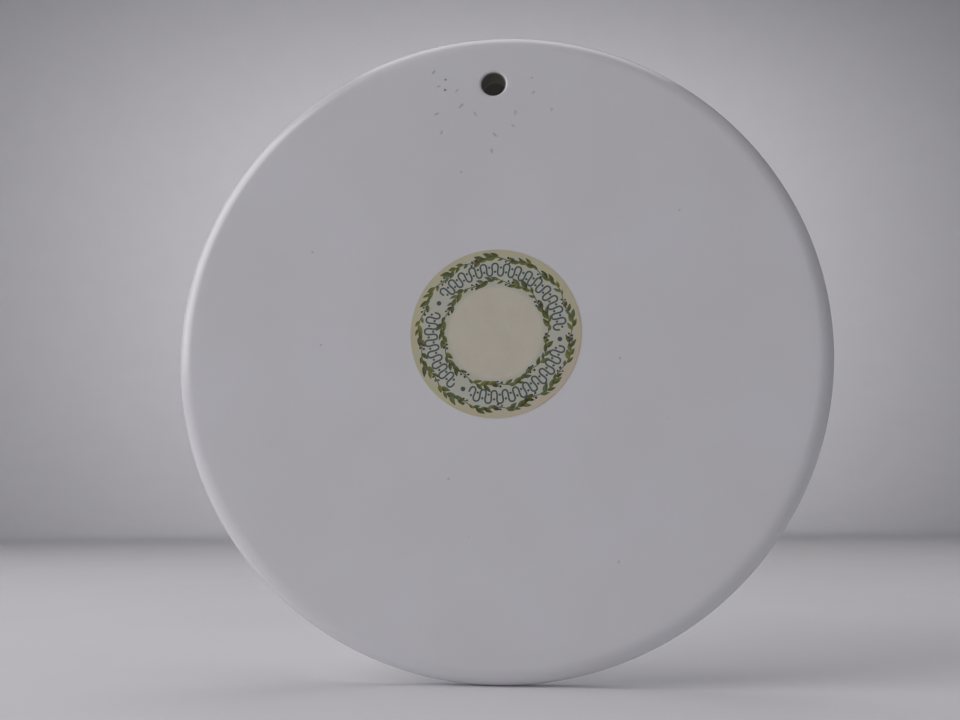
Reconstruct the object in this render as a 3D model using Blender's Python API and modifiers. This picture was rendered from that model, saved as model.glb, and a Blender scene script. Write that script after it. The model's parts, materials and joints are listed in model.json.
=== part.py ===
"""A round ceramic wall plate, modelled as it hangs: a glazed stoneware disc with a
drilled and glazed hanging hole near its rim, and a round paper label stuck on its back.

Units are metres. +Z is up as the plate hangs, and the plate's axis lies along Y: the back,
with the label, faces -Y, and the front faces +Y. The origin is on the hanging hole's axis,
at the plane of the back face.
"""

import math

import bpy

# ------------------------------------------------------------------ driving dimensions
PLATE_DIAMETER = 0.220  # across the rim
PLATE_THICKNESS = 0.009  # from the back face to the front face
RIM_ROUNDING = 0.006  # how far in from the rim the flat faces stop and the edge rounds over

HOLE_DIAMETER = 0.008  # the hanging hole's throat
HOLE_LIP = 0.0012  # radius of the soft glazed lip at both mouths of the hole
HOLE_TO_RIM = 0.0185  # from the hole's axis out to the rim

LABEL_DIAMETER = 0.057
LABEL_THICKNESS = 0.0002
LABEL_RISE = 0.0034  # how far the label sits above the plate's centre

# ------------------------------------------------------------------ clearances and steps
LABEL_GAP = 0.0003  # between the back face and the label, where the glue is
BARE_MARGIN = 0.009  # bare glaze left round the label before the back's bearing ring
CUTTER_REACH = 0.004  # how far the hole's cutter runs past each face

PLATE_STEPS = 128
HOLE_STEPS = 48
LABEL_STEPS = 96
RIM_STEPS = 10
LIP_STEPS = 5
LIP_SWEEP = math.radians(80)  # the lip's arc, which a short slope carries out of the face
MERGE_DISTANCE = 0.00001

# ------------------------------------------------------------------ derived sizes
PLATE_RADIUS = PLATE_DIAMETER / 2
HALF_THICKNESS = PLATE_THICKNESS / 2
HOLE_RADIUS = HOLE_DIAMETER / 2
HOLE_TO_CENTRE = PLATE_RADIUS - HOLE_TO_RIM
BEARING_RADIUS = LABEL_RISE + LABEL_DIAMETER / 2 + BARE_MARGIN

PLATE_CENTRE = (0, HALF_THICKNESS, -HOLE_TO_CENTRE)
HOLE_CENTRE = (0, HALF_THICKNESS, 0)
LABEL_CENTRE = (0, -LABEL_GAP - LABEL_THICKNESS / 2, LABEL_RISE - HOLE_TO_CENTRE)
AXIS_TO_BACK = (math.pi / 2, 0, 0)  # turns a shape's own +Z towards the back, -Y


def clear_scene():
    for old in list(bpy.data.objects):
        bpy.data.objects.remove(old, do_unlink=True)


def new_collection(name):
    collection = bpy.data.collections.new(name)
    bpy.context.scene.collection.children.link(collection)
    return collection


def principled(name, colour, roughness, coat=0.0):
    material = bpy.data.materials.new(name)
    material.use_nodes = True
    shader = material.node_tree.nodes["Principled BSDF"]
    shader.inputs["Base Color"].default_value = (*colour, 1)
    shader.inputs["Roughness"].default_value = roughness
    shader.inputs["Metallic"].default_value = 0.0
    shader.inputs["Coat Weight"].default_value = coat
    material.diffuse_color = (*colour, 1)
    return material


def turned(name, profile, steps, centre, collection):
    """A solid of revolution: profile is (radius, height) points, run down the outer side."""
    mesh = bpy.data.meshes.new(name)
    points = [(radius, 0, height) for radius, height in profile]
    edges = [(i, i + 1) for i in range(len(points) - 1)]
    mesh.from_pydata(points, edges, [])
    solid = bpy.data.objects.new(name, mesh)
    collection.objects.link(solid)
    solid.location = centre
    solid.rotation_euler = AXIS_TO_BACK
    spin = solid.modifiers.new("Turn", "SCREW")
    spin.axis = "Z"
    spin.angle = 2 * math.pi
    spin.steps = steps
    spin.render_steps = steps
    spin.use_merge_vertices = True
    spin.merge_threshold = MERGE_DISTANCE
    spin.use_smooth_shade = True
    return solid


def plate_profile():
    """Flat back, half-elliptical rim and flat front, from the back's centre to the front's."""
    flat_radius = PLATE_RADIUS - RIM_ROUNDING
    rim = []
    for i in range(RIM_STEPS + 1):
        turn = math.pi / 2 - math.pi * i / RIM_STEPS
        radius = flat_radius + RIM_ROUNDING * math.cos(turn)
        rim.append((radius, HALF_THICKNESS * math.sin(turn)))
    back = [(0, HALF_THICKNESS), (BEARING_RADIUS, HALF_THICKNESS)]
    return back + rim + [(0, -HALF_THICKNESS)]


def hole_profile():
    """Straight throat that flares through a rounded lip at each face and runs out past it."""
    mouth_radius = HOLE_RADIUS + HOLE_LIP
    lip_height = HALF_THICKNESS - HOLE_LIP
    lip = []
    for i in range(LIP_STEPS + 1):
        turn = LIP_SWEEP * (1 - i / LIP_STEPS)
        radius = mouth_radius - HOLE_LIP * math.cos(turn)
        lip.append((radius, lip_height + HOLE_LIP * math.sin(turn)))
    end_height = HALF_THICKNESS + CUTTER_REACH
    slope_run = (end_height - lip[0][1]) / math.tan(math.pi / 2 - LIP_SWEEP)
    back_half = [(0, end_height), (lip[0][0] + slope_run, end_height)] + lip
    front_half = [(radius, -height) for radius, height in reversed(back_half)]
    return back_half + front_half


def make_plate_body(parts, cutters):
    body = turned("plate_body", plate_profile(), PLATE_STEPS, PLATE_CENTRE, parts)
    cutter = turned("hole_cutter", hole_profile(), HOLE_STEPS, HOLE_CENTRE, cutters)
    cutter.hide_render = True
    cutter.display_type = "WIRE"
    cut = body.modifiers.new("Hanging hole", "BOOLEAN")
    cut.operation = "DIFFERENCE"
    cut.solver = "EXACT"
    cut.object = cutter
    body.data.materials.append(principled("white_glaze", (0.76, 0.77, 0.79), 0.12, 0.5))
    return body


def make_back_label(parts):
    bpy.ops.mesh.primitive_cylinder_add(
        vertices=LABEL_STEPS,
        radius=LABEL_DIAMETER / 2,
        depth=LABEL_THICKNESS,
        location=LABEL_CENTRE,
        rotation=AXIS_TO_BACK,
    )
    label = bpy.context.active_object
    label.name = label.data.name = "back_label"
    for home in list(label.users_collection):
        home.objects.unlink(label)
    parts.objects.link(label)
    label.data.shade_smooth()
    label.data.set_sharp_from_angle(angle=math.radians(30))
    label.data.materials.append(principled("cream_paper", (0.72, 0.66, 0.52), 0.75))
    return label


def main():
    clear_scene()
    parts = new_collection("souvenir_plate")
    cutters = new_collection("cutters")
    make_plate_body(parts, cutters)
    make_back_label(parts)


main()
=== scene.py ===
"""The looks of a round glazed wall plate with a printed paper label stuck on its back.

The plate hangs with +Z up, its back and label face -Y and its printed front faces +Y. The
hanging hole's axis runs along Y through the origin. Units are metres.
"""

import json
import math
import random
from collections import namedtuple

import bmesh
import bpy
from bpy.props import FloatProperty, FloatVectorProperty, IntProperty, PointerProperty
from mathutils import Matrix, Vector, noise


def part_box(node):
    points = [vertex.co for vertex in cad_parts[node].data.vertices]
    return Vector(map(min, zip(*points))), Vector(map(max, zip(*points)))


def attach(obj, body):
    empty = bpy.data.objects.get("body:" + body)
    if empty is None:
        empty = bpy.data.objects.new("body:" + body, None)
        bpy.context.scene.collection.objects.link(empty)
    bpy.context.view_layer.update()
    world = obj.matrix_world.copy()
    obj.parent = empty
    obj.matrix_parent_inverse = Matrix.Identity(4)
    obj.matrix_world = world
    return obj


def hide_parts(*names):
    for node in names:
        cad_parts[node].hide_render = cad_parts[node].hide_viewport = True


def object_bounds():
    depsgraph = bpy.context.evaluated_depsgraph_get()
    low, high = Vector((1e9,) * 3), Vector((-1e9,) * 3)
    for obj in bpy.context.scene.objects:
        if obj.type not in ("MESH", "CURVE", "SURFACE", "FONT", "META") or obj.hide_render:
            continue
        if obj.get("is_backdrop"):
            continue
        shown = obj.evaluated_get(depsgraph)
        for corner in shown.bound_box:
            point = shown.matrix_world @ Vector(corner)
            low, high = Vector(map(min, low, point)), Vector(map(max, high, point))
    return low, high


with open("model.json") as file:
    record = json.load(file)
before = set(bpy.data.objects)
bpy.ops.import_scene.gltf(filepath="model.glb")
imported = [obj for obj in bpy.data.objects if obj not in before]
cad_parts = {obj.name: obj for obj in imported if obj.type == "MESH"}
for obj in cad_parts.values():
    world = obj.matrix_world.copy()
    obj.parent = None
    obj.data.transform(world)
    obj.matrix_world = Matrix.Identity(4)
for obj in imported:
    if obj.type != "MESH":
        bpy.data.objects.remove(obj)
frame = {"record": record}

bl_info = {
    "name": "Glazed wall plate",
    "version": (1, 0, 0),
    "blender": (4, 5, 0),
    "location": "3D View > Sidebar > Wall plate",
    "description": "Builds a glazed wall plate with a printed label and its studio",
    "category": "Object",
}

CAD_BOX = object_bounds()
BODY = "root"
MM = 0.001

# ---------------------------------------------------------------- places taken from the frame
PLATE_LOW, PLATE_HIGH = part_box("plate_body")
LABEL_LOW, LABEL_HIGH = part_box("back_label")
PLATE_RADIUS = (PLATE_HIGH.x - PLATE_LOW.x) / 2
PLATE_CENTRE_Z = (PLATE_HIGH.z + PLATE_LOW.z) / 2
BACK_Y = PLATE_LOW.y
FRONT_Y = PLATE_HIGH.y
LABEL_RADIUS = (LABEL_HIGH.x - LABEL_LOW.x) / 2
LABEL_CENTRE_Z = (LABEL_HIGH.z + LABEL_LOW.z) / 2
MOUNTS = {mount["name"]: Vector(mount["pos_m"]) for mount in frame["record"]["mounts"]}
HOLE_CENTRE = MOUNTS["nail_hole"]


# ------------------------------------------------------------------------------- settings
def size(name, description, default):
    return FloatProperty(name=name, description=description, default=default, unit="LENGTH")


def colour(name, description, default):
    return FloatVectorProperty(
        name=name, description=description, default=linear(default), size=4, subtype="COLOR"
    )


def linear(code):
    """An sRGB hex colour such as '#e6dccd' as linear red, green, blue and alpha."""
    shares = [int(code[i : i + 2], 16) / 255 for i in (1, 3, 5)]
    curve = [c / 12.92 if c <= 0.04045 else ((c + 0.055) / 1.055) ** 2.4 for c in shares]
    return (*curve, 1.0)


class PlateSettings(bpy.types.PropertyGroup):
    rim_rounding: size("Rim rounding", "How far in from the rim the edge starts to round", 6 * MM)
    rim_inset: size("Rim inset", "How far the fine surface stays inside the plain disc", 0.02 * MM)
    hole_radius: size("Hole radius", "Radius of the hanging hole's throat", 4 * MM)
    hole_lip: size("Hole lip", "Radius of the soft glazed lip round the hole", 1.2 * MM)
    wave_depth: size("Glaze wave", "How deep the glaze's slow waves dip", 0.05 * MM)
    wave_length: size("Wave length", "How far apart the glaze's waves are", 38 * MM)
    segments: IntProperty(name="Segments", description="Points round the rim", default=384, min=32)
    glaze: colour("Glaze", "The white glaze, where it is thick", "#e3e4e8")
    glaze_thin: colour("Thin glaze", "The glaze where the clay shows through it", "#d2cfca")
    # the dark bare-clay colour is partly painted shade, for the darkness deep inside the hanging
    # hole
    clay: colour("Bare clay", "The unglazed wall of the drilled hole", "#615d54")
    scuff: colour("Scuff", "Grey metal left on the glaze by hooks and wire", "#3d3f45")


class LabelSettings(bpy.types.PropertyGroup):
    thickness: size("Paper thickness", "Thickness of the label's paper", 0.11 * MM)
    edge_lift: size("Edge lift", "How far the paper's edge lifts off at its worst", 0.06 * MM)
    segments: IntProperty(
        name="Segments", description="Points round the paper", default=240, min=32
    )
    paper: colour("Paper", "The cream paper in the label's middle", "#d9d4c4")
    paper_band: colour("Band paper", "The greener tint printed under the garlands", "#c8cbbd")
    paper_aged: colour("Aged paper", "The yellowed paper along the edge", "#cbc7a4")
    paper_warm: colour("Warm aged paper", "The tan that the edge turns to low down", "#d3c7b2")
    stain: colour("Stain", "The slow blotches in the paper", "#b9ad92")
    fibre: colour("Fibre", "The flecks of darker fibre in the paper", "#a59a84")
    leaf_dark: colour("Dark leaf ink", "The green ink where the garland is darkest", "#434d2a")
    leaf_light: colour("Light leaf ink", "The olive ink where the garland is lightest", "#86873b")
    leaf_cool: colour("Cool leaf ink", "The bluer green that some leaves lean to", "#47655a")
    bud: colour("Bud ink", "The russet of the garland's buds", "#6b4a35")
    slate: colour("Slate ink", "The slate blue ink of the winding line", "#3f4c54")


class FrontSettings(bpy.types.PropertyGroup):
    line_inset: size("Line inset", "How far in from the rim the outer line runs", 9.0 * MM)
    wreath_radius: size("Wreath radius", "Radius of the wreath's stem", 70 * MM)
    flower_radius: size("Flower radius", "How far the middle flower's petals reach", 25 * MM)
    petals: IntProperty(name="Petals", description="Petals on the middle flower", default=8, min=3)
    leaf_dark: colour("Dark leaf", "Glaze colour of the leaves' shaded side", "#3f5a46")
    leaf_light: colour("Light leaf", "Glaze colour of the leaves' sunny side", "#8f9448")
    slate: colour("Slate blue", "Glaze colour of the lines and petals", "#4c6378")
    ochre: colour("Ochre", "Glaze colour of the flower's heart", "#b98a3c")


class StudioSettings(bpy.types.PropertyGroup):
    floor: colour("Floor", "The pale seamless floor and backdrop", "#e4e5e8")
    key_power: FloatProperty(
        name="Key light", description="Power of the large soft light", default=7.0, unit="POWER"
    )
    top_power: FloatProperty(
        name="Top light", description="Power of the weak light overhead", default=4.4, unit="POWER"
    )
    wash_power: FloatProperty(
        name="Backdrop light", description="Power of the wash behind", default=13.0, unit="POWER"
    )
    sky: FloatProperty(name="Sky", description="Strength of the even light", default=0.05, min=0.0)


# --------------------------------------------------------------------- surfaces of the plate
Ring = namedtuple("Ring", "z radius y")  # a circle round the Y direction: its height, size, depth


def smooth(value):
    value = min(max(value, 0.0), 1.0)
    return value * value * (3 - 2 * value)


def glaze_dip(x, z, side):
    """How far the glaze's surface lies below the face's plane; side is -1 at the back."""
    plate = bpy.context.scene.plate_look
    fade = 12 * MM  # the waves die away over this before the rim and before the hole
    from_rim = PLATE_RADIUS - plate.rim_rounding - math.hypot(x, z - PLATE_CENTRE_Z)
    from_hole = math.hypot(x, z) - plate.hole_radius - plate.hole_lip
    depth = 0.5 + 0.5 * noise.noise(Vector((x, side * PLATE_RADIUS, z)) / plate.wave_length)
    return plate.wave_depth * depth * smooth(from_rim / fade) * smooth(from_hole / fade)


def back_surface(x, z):
    """Depth along Y of the glaze at the back."""
    return BACK_Y + glaze_dip(x, z, -1)


def front_surface(x, z):
    """Depth along Y of the glaze at the front."""
    return FRONT_Y - bpy.context.scene.plate_look.rim_inset - glaze_dip(x, z, 1)


def label_surface(x, z):
    """Depth along Y of the label's printed face. The outer tenth of its radius lifts a little,
    along two opposite stretches of its edge."""
    label = bpy.context.scene.label_look
    reach = math.hypot(x, z - LABEL_CENTRE_Z) / LABEL_RADIUS
    turn = math.atan2(z - LABEL_CENTRE_Z, x)
    lifted = max(0.0, math.sin(2 * turn + 0.6)) * smooth((reach - 0.9) / 0.1)
    return back_surface(x, z) - label.thickness - label.edge_lift * lifted


# ---------------------------------------------------------------------------- mesh helpers
def xz_matrix(x, z, angle=0.0, y=0.0):
    """Lays a shape drawn in the XY plane into the XZ plane, turned by angle from +X to +Z."""
    turned = Matrix.Rotation(-angle, 4, "Y") @ Matrix.Rotation(math.pi / 2, 4, "X")
    return Matrix.Translation((x, y, z)) @ turned


def around(turn, radius, centre_z):
    """A point on a circle in the XZ plane; turn is in radians from +X to +Z."""
    return radius * math.cos(turn), centre_z + radius * math.sin(turn)


def finish_piece(name, bm, material):
    """Turns a bmesh into a smooth piece that rides on the plate."""
    bmesh.ops.recalc_face_normals(bm, faces=bm.faces)
    mesh = bpy.data.meshes.new(name)
    bm.to_mesh(mesh)
    bm.free()
    mesh.shade_smooth()
    mesh.set_sharp_from_angle(angle=math.radians(40))
    mesh.materials.append(material)
    piece = bpy.data.objects.new(name, mesh)
    bpy.context.scene.collection.objects.link(piece)
    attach(piece, BODY)
    return piece


def loft(bm, rings, segments, closed=False):
    """Extrudes a circle from ring to ring, then joins the ends or closes each with a face."""
    first = rings[0]
    bmesh.ops.create_circle(
        bm,
        segments=segments,
        radius=first.radius,
        cap_ends=not closed,
        matrix=xz_matrix(0, first.z, y=first.y),
    )
    start = edges = bm.edges[:]
    for old, new in zip(rings, rings[1:]):
        made = bmesh.ops.extrude_edge_only(bm, edges=edges)["geom"]
        verts = [g for g in made if isinstance(g, bmesh.types.BMVert)]
        grown = new.radius / old.radius
        centre = Matrix.Translation((0, 0, -old.z))
        bmesh.ops.scale(bm, vec=(grown, 1, grown), space=centre, verts=verts)
        bmesh.ops.translate(bm, vec=(0, new.y - old.y, new.z - old.z), verts=verts)
        fresh = set(verts)
        edges = [
            g for g in made if isinstance(g, bmesh.types.BMEdge) and fresh.issuperset(g.verts)
        ]
    if closed:
        bmesh.ops.bridge_loops(bm, edges=start + edges)
    else:
        bmesh.ops.edgeloop_fill(bm, edges=edges)


class InkSheet:
    """Flat shapes of ink, drawn in the XZ plane and then laid on a surface as a thin film."""

    def __init__(self, surface, outward, film):
        self.bm = bmesh.new()
        self.tone = self.bm.verts.layers.float.new("tone")
        self.surface = surface
        self.outward = outward
        self.film = film

    def paint(self, verts, tone):
        for vert in verts:
            vert[self.tone] = tone

    def dot(self, x, z, radius, tone=0.5, segments=14):
        made = bmesh.ops.create_circle(
            self.bm, segments=segments, radius=radius, cap_ends=True, matrix=xz_matrix(x, z)
        )
        self.paint(made["verts"], tone)

    def leaf(self, x, z, angle, length, width, tone, segments=16, fullness=0.75):
        """A leaf from its stalk at x, z. It is fullest a little before its middle."""
        made = bmesh.ops.create_circle(
            self.bm, segments=segments, radius=1.0, cap_ends=True, matrix=Matrix.Identity(4)
        )["verts"]
        # pinches the circle to a point at both ends, and lays it along the leaf's length
        for vert in made:
            along = (vert.co.x + 1) / 2
            half = width / 2 * math.sin(math.pi * along**fullness)
            side = 0 if abs(vert.co.y) < 1e-6 else math.copysign(1, vert.co.y)
            vert.co = (along * length, side * half, 0)
            vert[self.tone] = min(1.0, max(0.0, tone + 0.35 * side - 0.25 * (along - 0.5)))
        bmesh.ops.transform(self.bm, matrix=xz_matrix(x, z, angle), verts=made)

    def stroke(self, path, widths, tone=0.5, closed=False):
        """A pen stroke: an edge across the path, extruded from point to point. The widths are
        taken in turn along it."""
        count = len(path)
        edge = None
        first = None
        for i, (x, z) in enumerate(path):
            ahead = path[(i + 1) % count] if closed else path[min(i + 1, count - 1)]
            behind = path[(i - 1) % count] if closed else path[max(i - 1, 0)]
            run = Vector((ahead[0] - behind[0], ahead[1] - behind[1])).normalized()
            half = widths[i % len(widths)] / 2
            across = Vector((-run.y * half, 0, run.x * half))
            if edge is None:
                pair = [self.bm.verts.new((x, 0, z)) for _ in range(2)]
                edge = first = self.bm.edges.new(pair)
                first_pair = pair
            else:
                made = bmesh.ops.extrude_edge_only(self.bm, edges=[edge])["geom"]
                fresh = [g for g in made if isinstance(g, bmesh.types.BMVert)]
                edge = next(
                    g
                    for g in made
                    if isinstance(g, bmesh.types.BMEdge) and set(g.verts) == set(fresh)
                )
                pair = self.match(pair, fresh)
            pair[0].co = Vector((x, 0, z)) + across
            pair[1].co = Vector((x, 0, z)) - across
            self.paint(pair, tone)
        if closed:
            self.bm.faces.new((pair[0], first_pair[0], first_pair[1], pair[1]))

    @staticmethod
    def match(old, fresh):
        """The two new points in the order of the two old ones they came from."""
        linked = {edge.other_vert(old[0]) for edge in old[0].link_edges}
        return fresh if fresh[0] in linked else fresh[::-1]

    def lay(self, name, material):
        """Gives the ink its thickness, drapes it on the surface and makes it a piece. Its
        underside sinks in by a quarter of the film, so that no light gets under it."""
        sunk = 0.25 * self.film
        faces = self.bm.faces[:]
        copied = bmesh.ops.extrude_face_region(self.bm, geom=faces)["geom"]
        outer = {g for g in copied if isinstance(g, bmesh.types.BMVert)}
        for vert in self.bm.verts:
            rise = self.film if vert in outer else -sunk
            vert.co.y = self.surface(vert.co.x, vert.co.z) + self.outward * rise
        return finish_piece(name, self.bm, material)


# ------------------------------------------------------------------------ material helpers
def between(amount, first, second):
    """What a Mix node takes to give the first colour at an amount of 0 and the second at 1.
    When it mixes colours, its amount, colours and result are these sockets."""
    return {"named": {0: amount, 6: first, 7: second}, "output": 2, "data_type": "RGBA"}


class Recipe:
    """A material being put together: its nodes, its shader and the object's coordinates."""

    def __init__(self, name, roughness, ior):
        self.material = bpy.data.materials.new(name)
        self.material.use_nodes = True
        self.tree = self.material.node_tree
        self.shader = self.tree.nodes["Principled BSDF"]
        self.place = self.node("TexCoord", output="Object")
        self.shade("Roughness", roughness)
        self.shade("IOR", ior)

    def node(self, kind, *inputs, named=(), output=0, **settings):
        """Adds one node with its settings, fills its sockets and gives one of its outputs.
        The inputs fill its first sockets in order, and the named ones go by name or number."""
        made = self.tree.nodes.new("ShaderNode" + kind)
        for name, value in settings.items():
            setattr(made, name, value)
        for key, value in (*enumerate(inputs), *dict(named).items()):
            self.fill(made.inputs[key], value)
        return made.outputs[output]

    def fill(self, socket, value):
        if isinstance(value, bpy.types.NodeSocket):
            self.tree.links.new(value, socket)
        else:
            socket.default_value = value

    def shade(self, name, value):
        """Sets one of the shader's own sockets, or links a pattern to it."""
        self.fill(self.shader.inputs[name], value)

    def clouds(self, grain, low=0.3, high=0.7, detail=2.0):
        """Cloudy patches from 0 to 1, about grain metres across."""
        sockets = {"Vector": self.place, "Scale": 1 / grain, "Detail": detail}
        rough = self.node("TexNoise", named=sockets, output="Fac")
        return self.node("MapRange", rough, low, high, interpolation_type="SMOOTHSTEP")

    def from_line(self, x, z):
        """How far a point is from the line along Y through x, z."""
        flat = self.node("VectorMath", self.place, (1, 0, 1), operation="MULTIPLY")
        return self.node("VectorMath", flat, (x, 0, z), operation="DISTANCE", output="Value")


# ------------------------------------------------------------------------------- materials
Mark = namedtuple("Mark", "x z length width turn darkness")  # turn is from +X to +Z


def hook_marks():
    """The grey marks on the back's glaze. Hooks that missed the hole left two hard knocks on one
    side of it, and wire left light strokes from there, round under it, to its other side."""
    draw = random.Random(21)
    knock_reach = 17 * MM
    for turn, darkness in ((172, 0.75), (185, 1.0)):
        x, z = around(math.radians(turn), knock_reach, HOLE_CENTRE.z)
        yield Mark(x, z, 1.2 * MM, 1.1 * MM, 0, darkness)
    strokes = 14
    first_turn, fan = 165, 215  # degrees, from the knocks' side to the other
    for i in range(strokes):
        # they crowd together near the knocks, and thin out and fade away from them
        gone = ((i + draw.random()) / strokes) ** 1.3
        turn = math.radians(first_turn + fan * gone)
        x, z = around(turn, draw.uniform(12, 26) * MM, HOLE_CENTRE.z)
        length, width = draw.uniform(1.1, 3.1) * MM, draw.uniform(0.9, 1.5) * MM
        lean, darkness = draw.uniform(0.3, 2.6), draw.uniform(0.28, 0.45)
        yield Mark(x, z, length, width, lean, darkness - 0.14 * gone)
    strays = 7
    for i in range(strays):
        turn = math.tau * (i + draw.random()) / strays
        x, z = around(turn, PLATE_RADIUS * draw.uniform(0.35, 0.85), PLATE_CENTRE_Z)
        yield Mark(x, z, 1.4 * MM, 0.9 * MM, draw.uniform(0, math.pi), 0.35)


def scuff_marks(recipe):
    """The sum of soft oval marks. A noise as fine as they are wide shifts their edges by up to
    0.3 mm, and so breaks them up."""
    grain, raggedness = 0.9 * MM, 0.6 * MM
    sockets = {"Vector": recipe.place, "Scale": 1 / grain, "Detail": 2.0}
    ragged = recipe.node("TexNoise", named=sockets, output="Color")
    shift = recipe.node("VectorMath", ragged, (0.5, 0.5, 0.5), operation="SUBTRACT")
    broken = recipe.node(
        "VectorMath", shift, (raggedness,) * 3, recipe.place, operation="MULTIPLY_ADD"
    )
    skin_deep = 3 * MM
    total = 0.0
    for mark in hook_marks():
        centre = (mark.x, BACK_Y, mark.z)
        reach = (mark.length / 2, skin_deep, mark.width / 2)
        local = recipe.node(
            "Mapping", broken, centre, (0, -mark.turn, 0), reach, vector_type="TEXTURE"
        )
        oval = recipe.node("TexGradient", local, output="Fac", gradient_type="SPHERICAL")
        soft = recipe.node(
            "MapRange", oval, 0.0, 0.7, 0.0, mark.darkness, interpolation_type="SMOOTHSTEP"
        )
        total = recipe.node("Math", total, soft, operation="ADD")
    return total


def iron_specks(recipe):
    """Specks of iron burnt through the glaze: soft dots about half a millimetre wide, one to a
    cell of 7 mm, and in only one cell in nine."""
    cell = 7 * MM
    sockets = {"Vector": recipe.place, "Scale": 1 / cell}
    from_speck = recipe.node("TexVoronoi", named=sockets, output="Distance")
    lot = recipe.node("TexWhiteNoise", from_speck.node.outputs["Color"], output="Value")
    chosen = recipe.node("Math", lot, 0.89, operation="GREATER_THAN")
    dot = recipe.node("MapRange", from_speck, 0.02, 0.04, 0.5, 0.0)
    return recipe.node("Math", chosen, dot, operation="MULTIPLY")


def glazed_stoneware():
    """White stoneware under a fired glaze: opaque and even from afar, with a glassy skin,
    faint clouds of tint, rare iron specks, and grey where metal has rubbed it."""
    look = bpy.context.scene.plate_look
    recipe = Recipe("glazed_stoneware", 0.15, 1.5)
    cloudy = recipe.node("Math", recipe.clouds(45 * MM, detail=3.0), 0.2, operation="MULTIPLY")

    # the glaze draws back from the rim's crown as it melts, and the warm clay shows through
    from_axis = recipe.from_line(0, PLATE_CENTRE_Z)
    crown = recipe.node(
        "MapRange", from_axis, PLATE_RADIUS - 1.2 * MM, PLATE_RADIUS - 0.1 * MM, 0.0, 0.35
    )
    patchy = recipe.clouds(9 * MM, 0.35, 0.65, 4.0)
    drawn = recipe.node("Math", crown, patchy, operation="MULTIPLY")
    thin = recipe.node("Math", cloudy, drawn, operation="MAXIMUM")
    glaze = recipe.node("Mix", **between(thin, look.glaze, look.glaze_thin))

    marks = recipe.node("Math", scuff_marks(recipe), iron_specks(recipe), operation="ADD")
    marks = recipe.node("Math", marks, 0.9, operation="MINIMUM")
    marked = recipe.node("Mix", **between(marks, glaze, look.scuff))

    # the drill went through glaze and clay, so the throat is bare clay, and it is painted dark as
    # well: painted shade for the darkness deep inside the hole
    from_hole = recipe.from_line(HOLE_CENTRE.x, HOLE_CENTRE.z)
    glazed_from = look.hole_radius + 0.15 * MM
    throat = recipe.node("MapRange", from_hole, glazed_from, glazed_from + 0.4 * MM, 1.0, 0.0)
    recipe.shade("Base Color", recipe.node("Mix", **between(throat, marked, look.clay)))

    # rubbed and bare places are duller, and the rest varies a little as it was breathed on
    skin = recipe.node("MapRange", recipe.clouds(6 * MM, 0.2, 0.8, 3.0), 0.0, 1.0, 0.12, 0.2)
    rubbed = recipe.node("Math", marks, 0.4, skin, operation="MULTIPLY_ADD")
    bare = recipe.node("Math", throat, 0.8, operation="MULTIPLY")
    recipe.shade("Roughness", recipe.node("Math", rubbed, bare, operation="MAXIMUM"))

    # the glaze ripples like orange peel every 3 mm, by about 2 thousandths
    ripple = {"Height": recipe.clouds(3 * MM, 0.2, 0.8, 1.0), "Distance": 0.002 * MM}
    recipe.shade("Normal", recipe.node("Bump", named=ripple))
    return recipe.material


def label_paper():
    """Uncoated label paper, offset printed: dull, faintly fibrous, tinted under the garlands
    and yellowed where the glue and the air have reached it from the edge."""
    look = bpy.context.scene.label_look
    recipe = Recipe("label_paper", 0.7, 1.45)
    from_centre = recipe.from_line(0, LABEL_CENTRE_Z)
    reach = recipe.node("Math", from_centre, LABEL_RADIUS, operation="DIVIDE")
    ragged = recipe.clouds(5 * MM, 0.25, 0.75, 4.0)
    worn_reach = recipe.node("Math", ragged, 0.07, reach, operation="MULTIPLY_ADD")

    inner = recipe.node("MapRange", reach, 0.52, 0.58, interpolation_type="SMOOTHSTEP")
    printed = recipe.node("Mix", **between(inner, look.paper, look.paper_band))
    aged = recipe.node("MapRange", worn_reach, 0.9, 1.0, interpolation_type="SMOOTHSTEP")
    # the edge is olive at the upper left, and warmer towards the lower right
    corner = 0.7 * LABEL_RADIUS
    from_corner = recipe.from_line(corner, LABEL_CENTRE_Z - corner)
    warmth = recipe.node("MapRange", from_corner, 1.6 * corner, 0.6 * corner)
    margin = recipe.node("Mix", **between(warmth, look.paper_aged, look.paper_warm))
    yellowed = recipe.node("Mix", **between(aged, printed, margin))

    # slow blotches, and fibres half a millimetre long drawn as coarse as they need to show
    blotch = recipe.node("Math", recipe.clouds(7 * MM, 0.35, 0.75, 3.0), 0.16, operation="MULTIPLY")
    stained = recipe.node("Mix", **between(blotch, yellowed, look.stain))
    fibre = recipe.clouds(0.45 * MM, 0.3, 0.8, 4.0)
    fleck = recipe.node("Math", fibre, 0.12, operation="MULTIPLY")
    recipe.shade("Base Color", recipe.node("Mix", **between(fleck, stained, look.fibre)))
    nap = {"Height": fibre, "Distance": 0.012 * MM}
    recipe.shade("Normal", recipe.node("Bump", named=nap))
    return recipe.material


def ink(name, colours, ground, roughness, grain):
    """Printed colour that runs from dark to light by each shape's own tone, and to a third
    colour in slow patches. It took a little unevenly, so the ground shows through in places.
    Under glaze it is glossy, and on paper it is as dull as the paper."""
    dark, light, other = colours
    recipe = Recipe(name, roughness, 1.5)
    tone = recipe.node("Attribute", output="Fac", attribute_name="tone")
    uneven = recipe.node("MapRange", recipe.clouds(grain, 0.25, 0.8, 3.0), 0.0, 1.0, -0.18, 0.18)
    toned = recipe.node("Math", tone, uneven, operation="ADD", use_clamp=True)
    patch = recipe.node("Math", recipe.clouds(5 * grain, 0.45, 0.7), 0.55, operation="MULTIPLY")
    shaded = recipe.node("Mix", **between(toned, dark, light))
    pigment = recipe.node("Mix", **between(patch, shaded, other))
    sparse = recipe.node("Math", recipe.clouds(grain / 3, 0.55, 0.85), 0.3, operation="MULTIPLY")
    recipe.shade("Base Color", recipe.node("Mix", **between(sparse, pigment, ground)))
    return recipe.material


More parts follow.
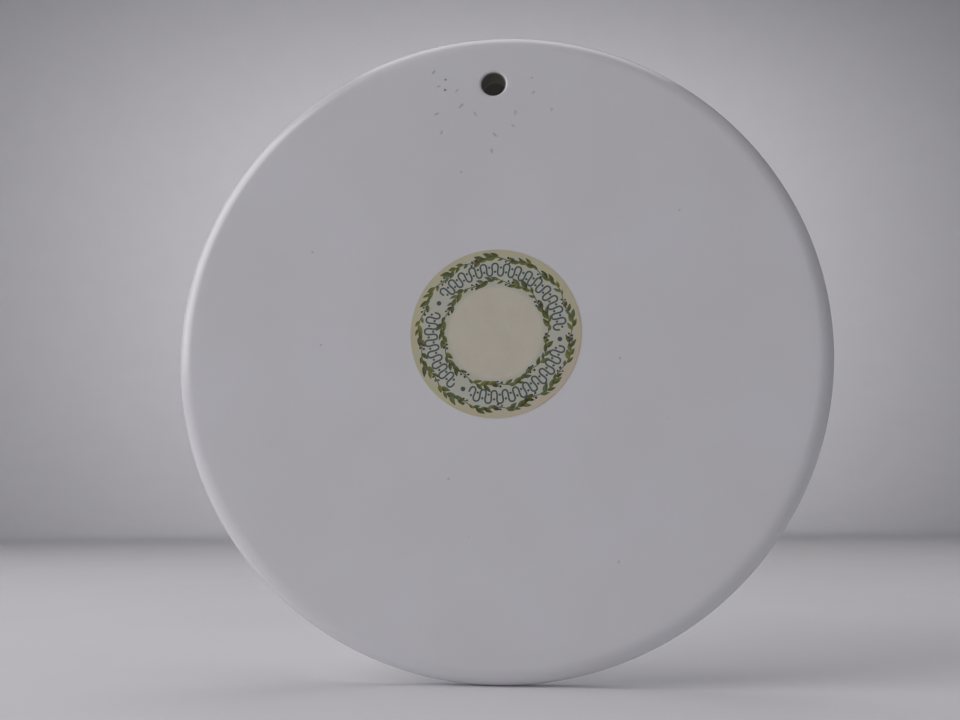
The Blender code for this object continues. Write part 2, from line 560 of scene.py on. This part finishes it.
def shared_ink(name, *details):
    """The ink of this name, made on its first use."""
    return bpy.data.materials.get(name) or ink(name, *details)


def seamless_floor():
    """Pale matt board: the plain sweep that the plate stands on."""
    recipe = Recipe("seamless_floor", 0.85, 1.45)
    cloudy = recipe.node("Math", recipe.clouds(90 * MM, detail=4.0), 0.12, operation="MULTIPLY")
    floor = bpy.context.scene.studio_look.floor
    recipe.shade("Base Color", recipe.node("Mix", **between(cloudy, floor, linear("#d6d6d8"))))
    return recipe.material


def painted_shade_card():
    """Near-black card with a faint felt-like grain, which sends almost no light back: painted shade
    for the inside of the hanging hole.
    """
    recipe = Recipe("painted_shade_card", 0.95, 1.45)
    shade_tone = between(recipe.clouds(2 * MM), linear("#242523"), linear("#2c2c29"))
    recipe.shade("Base Color", recipe.node("Mix", **shade_tone))
    return recipe.material


# -------------------------------------------------------------------------------- operators
class WALLPLATE_OT_disc(bpy.types.Operator):
    """Builds the glazed disc with its rounded rim and its lipped hanging hole"""

    bl_idname = "wallplate.disc"
    bl_label = "Glazed disc"
    bl_options = {"REGISTER", "UNDO"}

    def execute(self, context):
        look = context.scene.plate_look
        bm = bmesh.new()
        loft(bm, self.rings(look), look.segments, closed=True)
        middle = (BACK_Y + FRONT_Y) / 2
        for vert in bm.verts:
            x, y, z = vert.co
            side = -1 if y < middle else 1
            vert.co.y = y - side * glaze_dip(x, z, side)
        disc = finish_piece("glazed_disc", bm, glazed_stoneware())
        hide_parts("plate_body")
        return {"FINISHED"}

    @staticmethod
    def rings(look):
        """One closed loop of circles: out of the throat over the back, round the rim and
        back over the front. The circles' centres slide from the hole's to the plate's."""
        lip_steps, face_steps, rim_steps = 8, 44, 28
        half = (FRONT_Y - BACK_Y) / 2 - look.rim_inset
        middle = (FRONT_Y + BACK_Y) / 2
        mouth = look.hole_radius + look.hole_lip
        flat = PLATE_RADIUS - look.rim_rounding

        def lip(step):
            turn = math.pi / 2 * step / lip_steps
            radius = mouth - look.hole_lip * math.cos(turn)
            return radius, half - look.hole_lip * (1 - math.sin(turn))

        def face(step):
            out = (step / face_steps) ** 1.4
            return PLATE_CENTRE_Z * out, mouth + (flat - mouth) * out

        back = []
        for step in range(lip_steps):
            radius, depth = lip(step)
            back.append(Ring(0, radius, -depth))
        for step in range(face_steps):
            z, radius = face(step)
            back.append(Ring(z, radius, -half))
        for step in range(rim_steps // 2):
            turn = math.pi * step / rim_steps
            radius = flat + (look.rim_rounding - look.rim_inset) * math.sin(turn)
            back.append(Ring(PLATE_CENTRE_Z, radius, -half * math.cos(turn)))
        crown = Ring(PLATE_CENTRE_Z, PLATE_RADIUS - look.rim_inset, 0)
        front = [ring._replace(y=-ring.y) for ring in reversed(back)]
        return [ring._replace(y=middle + ring.y) for ring in [*back, crown, *front]]


class WALLPLATE_OT_label(bpy.types.Operator):
    """Builds the round paper label, which follows the glaze and lifts a little at its edge"""

    bl_idname = "wallplate.label"
    bl_label = "Label paper"
    bl_options = {"REGISTER", "UNDO"}

    def execute(self, context):
        look = context.scene.label_look
        bm = bmesh.new()
        steps = 26
        top = [Ring(LABEL_CENTRE_Z, LABEL_RADIUS * (i + 1) / (steps + 1), 0) for i in range(steps)]
        corner = 0.03 * MM
        edge = [
            Ring(LABEL_CENTRE_Z, LABEL_RADIUS - corner, 0),
            Ring(LABEL_CENTRE_Z, LABEL_RADIUS, corner),
            Ring(LABEL_CENTRE_Z, LABEL_RADIUS, look.thickness - corner / 2),
        ]
        under = [Ring(LABEL_CENTRE_Z, ring.radius, look.thickness) for ring in reversed(top)]
        loft(bm, [*top, *edge, *under], look.segments)
        for vert in bm.verts:
            vert.co.y += label_surface(vert.co.x, vert.co.z)
        paper = finish_piece("label_paper", bm, label_paper())
        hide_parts("back_label")
        return {"FINISHED"}


def garland(sheets, centre_z, radius, sprigs, scale, draw):
    """A ring of sprigs: a swaying stem with leaves on both sides, then berries, and a bud on
    every third. The scale is the length of a full leaf. Places run along a sprig from 0 to 1."""
    stems, leaves, berries = sheets
    step = math.tau / sprigs
    sway = 0.16 * scale
    points = 40 * sprigs
    bud_place, bud_lean = 0.7, 0.5

    def stem_place(turn, off=0.0):
        return around(turn, radius + sway * math.sin(turn * sprigs) + off, centre_z)

    path = [stem_place(math.tau * i / points) for i in range(points)]
    stems.stroke(path, [0.075 * scale, 0.1 * scale], 0.3, closed=True)
    leaf_places = [0.02 + 0.105 * i for i in range(7)]
    berry_places = ((0.76, 1), (0.82, -1), (0.88, 1), (0.93, -1))
    for sprig in range(sprigs):
        start = step * sprig
        side = draw.choice((-1, 1))
        for place in leaf_places:
            turn = start + step * (place + draw.uniform(-0.015, 0.015))
            heading = turn + math.pi / 2 + side * math.radians(draw.uniform(12, 34))
            length = scale * draw.uniform(0.7, 1.18) * (0.8 + 0.3 * math.sin(math.pi * place / 0.7))
            width = length * draw.uniform(0.34, 0.52)
            leaves.leaf(*stem_place(turn), heading, length, width, draw.uniform(0.05, 0.75))
            side = -side
        for place, out in berry_places:
            turn = start + step * place
            root = stem_place(turn - 0.3 * scale / radius)
            tip = stem_place(turn, out * scale * draw.uniform(0.14, 0.26))
            stems.stroke([root, tip], [0.06 * scale], 0.3)
            berries.dot(*tip, 0.11 * scale * draw.uniform(0.8, 1.15), draw.uniform(0.0, 0.4))
        if sprig % 3 == 0:
            turn = start + step * bud_place
            heading = turn + math.pi / 2 - bud_lean
            berries.leaf(*stem_place(turn), heading, 0.6 * scale, 0.3 * scale, 1.0)


class WALLPLATE_OT_label_garlands(bpy.types.Operator):
    """Prints the two leaf garlands on the label"""

    bl_idname = "wallplate.label_garlands"
    bl_label = "Label garlands"
    bl_options = {"REGISTER", "UNDO"}

    def execute(self, context):
        look = context.scene.label_look
        draw = random.Random(11)
        films = (0.005 * MM, 0.008 * MM, 0.011 * MM)
        sheets = [InkSheet(label_surface, -1, film) for film in films]
        leaf_length = 3.4 * MM
        for radius, sprigs in ((0.89, 13), (0.62, 9)):
            garland(sheets, LABEL_CENTRE_Z, radius * LABEL_RADIUS, sprigs, leaf_length, draw)
        greens = (look.leaf_dark, look.leaf_light, look.leaf_cool)
        browns = (linear("#2b3033"), look.bud, linear("#3a3a38"))
        leaf_ink = ink("garland_ink", greens, look.paper_band, 0.6, 1.2 * MM)
        berry_ink = ink("berry_ink", browns, look.paper_band, 0.6, 1.0 * MM)
        stems, leaves, berries = sheets
        stems.lay("label_garland_stems", leaf_ink)
        leaves.lay("label_garland_leaves", leaf_ink)
        berries.lay("label_garland_berries", berry_ink)
        return {"FINISHED"}


class WALLPLATE_OT_label_waves(bpy.types.Operator):
    """Prints the winding line with its beads between the label's garlands"""

    bl_idname = "wallplate.label_waves"
    bl_label = "Label wave band"
    bl_options = {"REGISTER", "UNDO"}

    def execute(self, context):
        look = context.scene.label_look
        radius = 0.757 * LABEL_RADIUS
        pitch, height = 3.8 * MM / radius, 2.15 * MM
        stroke, bead, stop = 0.58 * MM, 0.42 * MM, 0.8 * MM
        stops = [math.radians(turn) for turn in (151, -7, -120, 151 - 360)]
        band = InkSheet(label_surface, -1, 0.009 * MM)
        for start, end in zip(stops, stops[1:]):
            band.dot(*around(start, radius, LABEL_CENTRE_Z), stop, 0.3)
            room = start - end - 4.6 * stop / radius
            waves = math.floor(room / pitch)
            first = (start + end + waves * pitch) / 2
            path = [
                around(first - turn, radius + swing, LABEL_CENTRE_Z)
                for turn, swing in self.winding(waves, pitch, height)
            ]
            band.stroke(path, [stroke], 0.4)
            for i in range(2 * waves):
                turn = first - pitch * (i + 0.5) / 2
                side = -1 if i % 2 == 0 else 1
                place = around(turn, radius + side * 0.35 * height, LABEL_CENTRE_Z)
                band.dot(*place, bead, 0.4, 10)
        slates = (look.slate, linear("#5c6c73"), linear("#3f5a58"))
        band.lay("label_wave_band", ink("slate_ink", slates, look.paper_band, 0.6, 1.0 * MM))
        return {"FINISHED"}

    @staticmethod
    def winding(waves, pitch, height):
        """Turn and swing along a line that goes up and over like a river's bends."""
        points = 20
        for i in range(waves * points + 1):
            phase = math.tau * i / points
            lean = 0.11 * pitch * math.sin(2 * phase)
            yield pitch * i / points - lean, height * math.sin(phase)


class WALLPLATE_OT_front_lines(bpy.types.Operator):
    """Prints the two slate lines inside the front's rim"""

    bl_idname = "wallplate.front_lines"
    bl_label = "Front lines"
    bl_options = {"REGISTER", "UNDO"}

    def execute(self, context):
        look = context.scene.front_look
        outer = PLATE_RADIUS - look.line_inset
        lines = InkSheet(front_surface, 1, 0.008 * MM)
        steps = 288
        for inset, width in ((0.0, 1.1 * MM), (2.0 * MM, 0.35 * MM)):
            path = [
                around(math.tau * i / steps, outer - inset, PLATE_CENTRE_Z) for i in range(steps)
            ]
            lines.stroke(path, [width], 0.4, closed=True)
        lines.lay("front_lines", under_glaze_slate(look))
        return {"FINISHED"}


def under_glaze_slate(look):
    slates = (look.slate, linear("#6f8496"), linear("#56707f"))
    return shared_ink("under_glaze_slate", slates, glaze_colour(), 0.16, 5 * MM)


def under_glaze_leaf(look):
    greens = (look.leaf_dark, look.leaf_light, linear("#4f7668"))
    return shared_ink("under_glaze_leaf", greens, glaze_colour(), 0.16, 5 * MM)


def glaze_colour():
    return bpy.context.scene.plate_look.glaze


class WALLPLATE_OT_front_wreath(bpy.types.Operator):
    """Prints the wreath of leaves and berries round the front"""

    bl_idname = "wallplate.front_wreath"
    bl_label = "Front wreath"
    bl_options = {"REGISTER", "UNDO"}

    def execute(self, context):
        look = context.scene.front_look
        draw = random.Random(5)
        films = (0.005 * MM, 0.008 * MM, 0.011 * MM)
        sheets = [InkSheet(front_surface, 1, film) for film in films]
        garland(sheets, PLATE_CENTRE_Z, look.wreath_radius, 12, 14 * MM, draw)
        stems, leaves, berries = sheets
        stems.lay("front_wreath_stems", under_glaze_leaf(look))
        leaves.lay("front_wreath_leaves", under_glaze_leaf(look))
        berries.lay("front_wreath_berries", under_glaze_slate(look))
        return {"FINISHED"}


class WALLPLATE_OT_front_flower(bpy.types.Operator):
    """Prints the round flower in the middle of the front"""

    bl_idname = "wallplate.front_flower"
    bl_label = "Front flower"
    bl_options = {"REGISTER", "UNDO"}

    def execute(self, context):
        look = context.scene.front_look
        reach = look.flower_radius
        heart = 0.24 * reach
        leaves = InkSheet(front_surface, 1, 0.006 * MM)
        petals = InkSheet(front_surface, 1, 0.009 * MM)
        hearts = InkSheet(front_surface, 1, 0.012 * MM)
        step = math.tau / look.petals
        for i in range(look.petals):
            turn = math.pi / 2 + i * step
            x, z = around(turn, heart * 0.8, PLATE_CENTRE_Z)
            petals.leaf(x, z, turn, reach - heart, 0.5 * reach, 0.35, 32, 1.7)
            between = turn + step / 2
            x, z = around(between, heart, PLATE_CENTRE_Z)
            leaves.leaf(x, z, between, 1.25 * reach - heart, 0.2 * reach, 0.45, 24)
        hearts.dot(0, PLATE_CENTRE_Z, heart, 0.5, 40)
        ring = 16
        for i in range(ring):
            hearts.dot(*around(math.tau * i / ring, 1.32 * heart, PLATE_CENTRE_Z), 0.1 * heart, 0.2)
        ochres = (look.ochre, linear("#d2ab62"), linear("#a8702f"))
        ochre = ink("under_glaze_ochre", ochres, glaze_colour(), 0.16, 3 * MM)
        leaves.lay("front_flower_leaves", under_glaze_leaf(look))
        petals.lay("front_flower_petals", under_glaze_slate(look))
        hearts.lay("front_flower_heart", ochre)
        return {"FINISHED"}


class WALLPLATE_OT_studio(bpy.types.Operator):
    """Builds the pale sweep, the soft lights and the camera"""

    bl_idname = "wallplate.studio"
    bl_label = "Studio"
    bl_options = {"REGISTER", "UNDO"}

    def execute(self, context):
        scene = context.scene
        self.sweep(scene)
        self.camera(scene)
        # painted shade: a dark card seen only through the hanging hole
        self.painted_hole_shade(scene)
        self.lights(scene)
        # plain film response, so that each finish shows its own colour
        scene.view_settings.view_transform = "Standard"
        return {"FINISHED"}

    @staticmethod
    def sweep(scene):
        """A round floor whose far edge curves up into a wall, so no horizon shows."""
        floor_z = PLATE_LOW.z
        flat, bend, height = 2.2, 1.2, 2.5
        steps = 12
        rings = [Ring(0, r, 0) for r in (0.05, 0.3, 0.8, 1.5, flat)]
        for i in range(1, steps + 1):
            turn = math.pi / 2 * i / steps
            rings.append(Ring(0, flat + bend * math.sin(turn), bend * (1 - math.cos(turn))))
        rings.append(Ring(0, flat + bend, height))
        bm = bmesh.new()
        loft(bm, rings, 96)
        lid = max(bm.faces, key=lambda face: sum(v.co.y for v in face.verts) / len(face.verts))
        bmesh.ops.delete(bm, geom=[lid], context="FACES_ONLY")
        # the rings were stacked along Y, so the bowl is tipped up to open along +Z
        stand = Matrix.Translation((0, 0, floor_z)) @ Matrix.Rotation(math.pi / 2, 4, "X")
        bmesh.ops.transform(bm, matrix=stand, verts=bm.verts)
        bmesh.ops.reverse_faces(bm, faces=bm.faces)
        mesh = bpy.data.meshes.new("sweep")
        bm.to_mesh(mesh)
        bm.free()
        mesh.shade_smooth()
        mesh.materials.append(seamless_floor())
        sweep = bpy.data.objects.new("sweep", mesh)
        scene.collection.objects.link(sweep)
        sweep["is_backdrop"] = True

    @staticmethod
    def camera(scene):
        centre = Vector((0, (BACK_Y + FRONT_Y) / 2, PLATE_CENTRE_Z))
        azimuth, elevation, distance = math.radians(4.6), math.radians(-10), 0.3145
        back = Vector((
            math.sin(azimuth) * math.cos(elevation),
            -math.cos(azimuth) * math.cos(elevation),
            math.sin(elevation),
        ))
        aim = Vector((-5.1 * MM, 0, PLATE_CENTRE_Z - 5.7 * MM))
        roll = math.radians(-0.24)
        data = bpy.data.cameras.new("camera")
        data.lens = 35
        data.sensor_width = 36
        data.clip_start = 0.01
        camera = bpy.data.objects.new("camera", data)
        camera.location = centre + back * distance
        sight = (aim - camera.location).to_track_quat("-Z", "Y")
        camera.rotation_euler = (sight.to_matrix() @ Matrix.Rotation(roll, 3, "Z")).to_euler()
        scene.collection.objects.link(camera)
        scene.camera = camera

    @staticmethod
    def painted_hole_shade(scene):
        """A small dark card far behind, where the camera looks through the hole: painted shade, so
        that the hole reads as dark as it does in a wall's shadow. The plate hides the rest of it."""
        away = 2.0
        side = 0.13
        eye = scene.camera.location
        sight = (HOLE_CENTRE - eye).normalized()
        bm = bmesh.new()
        turn = sight.to_track_quat("Z", "Y").to_matrix().to_4x4()
        place = Matrix.Translation(HOLE_CENTRE + sight * away) @ turn
        bmesh.ops.create_grid(bm, x_segments=2, y_segments=2, size=side / 2, matrix=place)
        mesh = bpy.data.meshes.new("painted_shade_card")
        bm.to_mesh(mesh)
        bm.free()
        mesh.materials.append(painted_shade_card())
        card = bpy.data.objects.new("painted_shade_card", mesh)
        scene.collection.objects.link(card)
        card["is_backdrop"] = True

    @staticmethod
    def lights(scene):
        """A large soft window on the left, a wash on the backdrop and an even, dimmer sky."""
        look = scene.studio_look
        lamps = (
            ("key", look.key_power, (1.4, 1.4), (-1.4, -0.63, 0.7), (0, 0, PLATE_CENTRE_Z)),
            ("overhead", look.top_power, (1.6, 1.6), (0, 0.35, 1.6), (0, 0.3, 0)),
            ("backdrop_wash", look.wash_power, (2.0, 0.6), (0, 1.2, 1.7), (-0.5, 3.4, 0.6)),
            ("left_wash", 0.8 * look.wash_power, (2.0, 0.6), (-1.2, 0, 1.7), (-3.4, 0, 0.6)),
            ("right_wash", 0.2 * look.wash_power, (2.0, 0.6), (1.2, 0, 1.7), (3.4, 0, 0.6)),
            ("rear_wash", 0.45 * look.wash_power, (2.0, 0.6), (0, -1.4, 1.7), (0, -3.4, 0.6)),
        )
        for name, power, (width, height), place, target in lamps:
            light = bpy.data.lights.new(name, "AREA")
            light.shape = "RECTANGLE"
            light.size, light.size_y = width, height
            light.energy = power
            light.spread = math.radians(110)
            light.color = linear("#fffbfc")[:3]
            lamp = bpy.data.objects.new(name, light)
            sight = Vector(target) - Vector(place)
            lamp.location = place
            lamp.rotation_euler = sight.to_track_quat("-Z", "Y").to_euler()
            scene.collection.objects.link(lamp)
        world = bpy.data.worlds.new("studio_sky")
        world.use_nodes = True
        sky = world.node_tree.nodes["Background"]
        sky.inputs["Color"].default_value = linear("#f4f1f8")
        sky.inputs["Strength"].default_value = look.sky
        scene.world = world


PIECES = (
    WALLPLATE_OT_disc,
    WALLPLATE_OT_label,
    WALLPLATE_OT_label_garlands,
    WALLPLATE_OT_label_waves,
    WALLPLATE_OT_front_lines,
    WALLPLATE_OT_front_wreath,
    WALLPLATE_OT_front_flower,
    WALLPLATE_OT_studio,
)
LOOKS = {
    "plate_look": PlateSettings,
    "label_look": LabelSettings,
    "front_look": FrontSettings,
    "studio_look": StudioSettings,
}


class WALLPLATE_PT_sidebar(bpy.types.Panel):
    """Lists the settings and the pieces"""

    bl_label = "Glazed wall plate"
    bl_space_type = "VIEW_3D"
    bl_region_type = "UI"
    bl_category = "Wall plate"

    def draw(self, context):
        for name, group in LOOKS.items():
            box = self.layout.box()
            for setting in group.__annotations__:
                box.prop(getattr(context.scene, name), setting)
        for piece in PIECES:
            self.layout.operator(piece.bl_idname)


def register():
    for group in LOOKS.values():
        bpy.utils.register_class(group)
    for name, group in LOOKS.items():
        setattr(bpy.types.Scene, name, PointerProperty(type=group))
    for item in (*PIECES, WALLPLATE_PT_sidebar):
        bpy.utils.register_class(item)


def unregister():
    for item in (WALLPLATE_PT_sidebar, *reversed(PIECES)):
        bpy.utils.unregister_class(item)
    for name, group in LOOKS.items():
        delattr(bpy.types.Scene, name)
        bpy.utils.unregister_class(group)


def main():
    register()
    for piece in PIECES:
        family, name = piece.bl_idname.split(".")
        getattr(getattr(bpy.ops, family), name)()
    boxes = {"cad": CAD_BOX, "visual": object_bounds()}
    {name: [list(corner) for corner in box] for name, box in boxes.items()}


if __name__ == "__main__":
    main()
